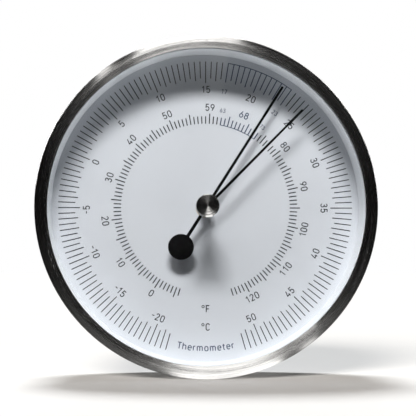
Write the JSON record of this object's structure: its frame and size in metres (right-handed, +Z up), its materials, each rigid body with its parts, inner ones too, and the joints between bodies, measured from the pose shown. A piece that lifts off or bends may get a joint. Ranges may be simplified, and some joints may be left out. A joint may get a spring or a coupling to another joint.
{
  "type": "round dial thermometer",
  "caption": "Round wall thermometer: drum case, glazed white dial with two scales, bimetal pointer and a setting hand turned by a central knob.",
  "frame": {"origin": "centre of the flat back face that lies against the wall", "axes": "+Z up, the dial faces -Y, +Y points into the wall; all turning parts turn about Y"},
  "size_m": [0.103, 0.0436, 0.103],
  "materials": {
    "bezel_steel": "brushed",
    "drum_steel": "brushed",
    "glass": "polished",
    "gasket_rubber": "matte",
    "white_ring": "satin",
    "dial_paint": "matte",
    "print_grey": "matte",
    "print_blue": "matte",
    "hand_black": "satin",
    "weight_black": "matte",
    "knob_steel": "brushed",
    "shaft_steel": "satin",
    "screw_steel": "satin",
    "brass": "satin",
    "bimetal": "satin",
    "nylon": "satin",
    "cover_plastic": "matte",
    "foam": "matte",
    "zinc_plate": "satin"
  },
  "bodies": {
    "case": {"case_drum": "drum_steel", "rear_flange_ring": "zinc_plate", "front_bezel": "bezel_steel", "glass_gasket": "gasket_rubber", "front_glass": "glass", "knob_bush": "nylon", "reflector_ring": "white_ring", "dial_plate": "dial_paint", "dial_seat_ring": "zinc_plate", "dial_feet": "brass", "dial_foot_nuts": "brass", "movement_base_plate": "brass", "front_bearing_bush": "brass", "movement_pillars": "brass", "bridge_screws": "screw_steel", "movement_bridge": "brass", "rear_bearing_bush": "brass", "back_cover": "cover_plastic", "back_cover_screws": "screw_steel", "back_gasket": "foam", "hanger_plate": "zinc_plate", "hanger_rivets": "screw_steel"},
    "calibrator": {"calibration_arm": "zinc_plate", "coil_post": "brass", "coil_clamp_plate": "brass", "coil_clamp_screw": "screw_steel", "bimetal_coil": "bimetal"},
    "pointer": {"pointer_arbor": "shaft_steel", "coil_collet": "brass", "pointer_hub": "hand_black", "temperature_pointer": "hand_black", "pointer_counterweight": "weight_black"},
    "setter": {"set_knob": "knob_steel", "set_shaft": "shaft_steel", "friction_washer": "shaft_steel", "set_hand_hub": "hand_black", "set_hand": "hand_black"}
  },
  "joints": [
    {"name": "calibration", "type": "hinge", "parent": "case", "child": "calibrator", "pos_m": [0, -0.00885, 0], "axis": [0, 1, 0], "range_deg": [-8, 8]},
    {"name": "temperature", "type": "hinge", "parent": "calibrator", "child": "pointer", "pos_m": [0, -0.0155, 0], "axis": [0, 1, 0], "range_deg": [-196.65, 131.85], "stiffness_Nm_per_rad": 0.0036},
    {"name": "setting", "type": "hinge", "parent": "case", "child": "setter", "pos_m": [0, -0.036, 0], "axis": [0, 1, 0], "continuous": true}
  ]
}
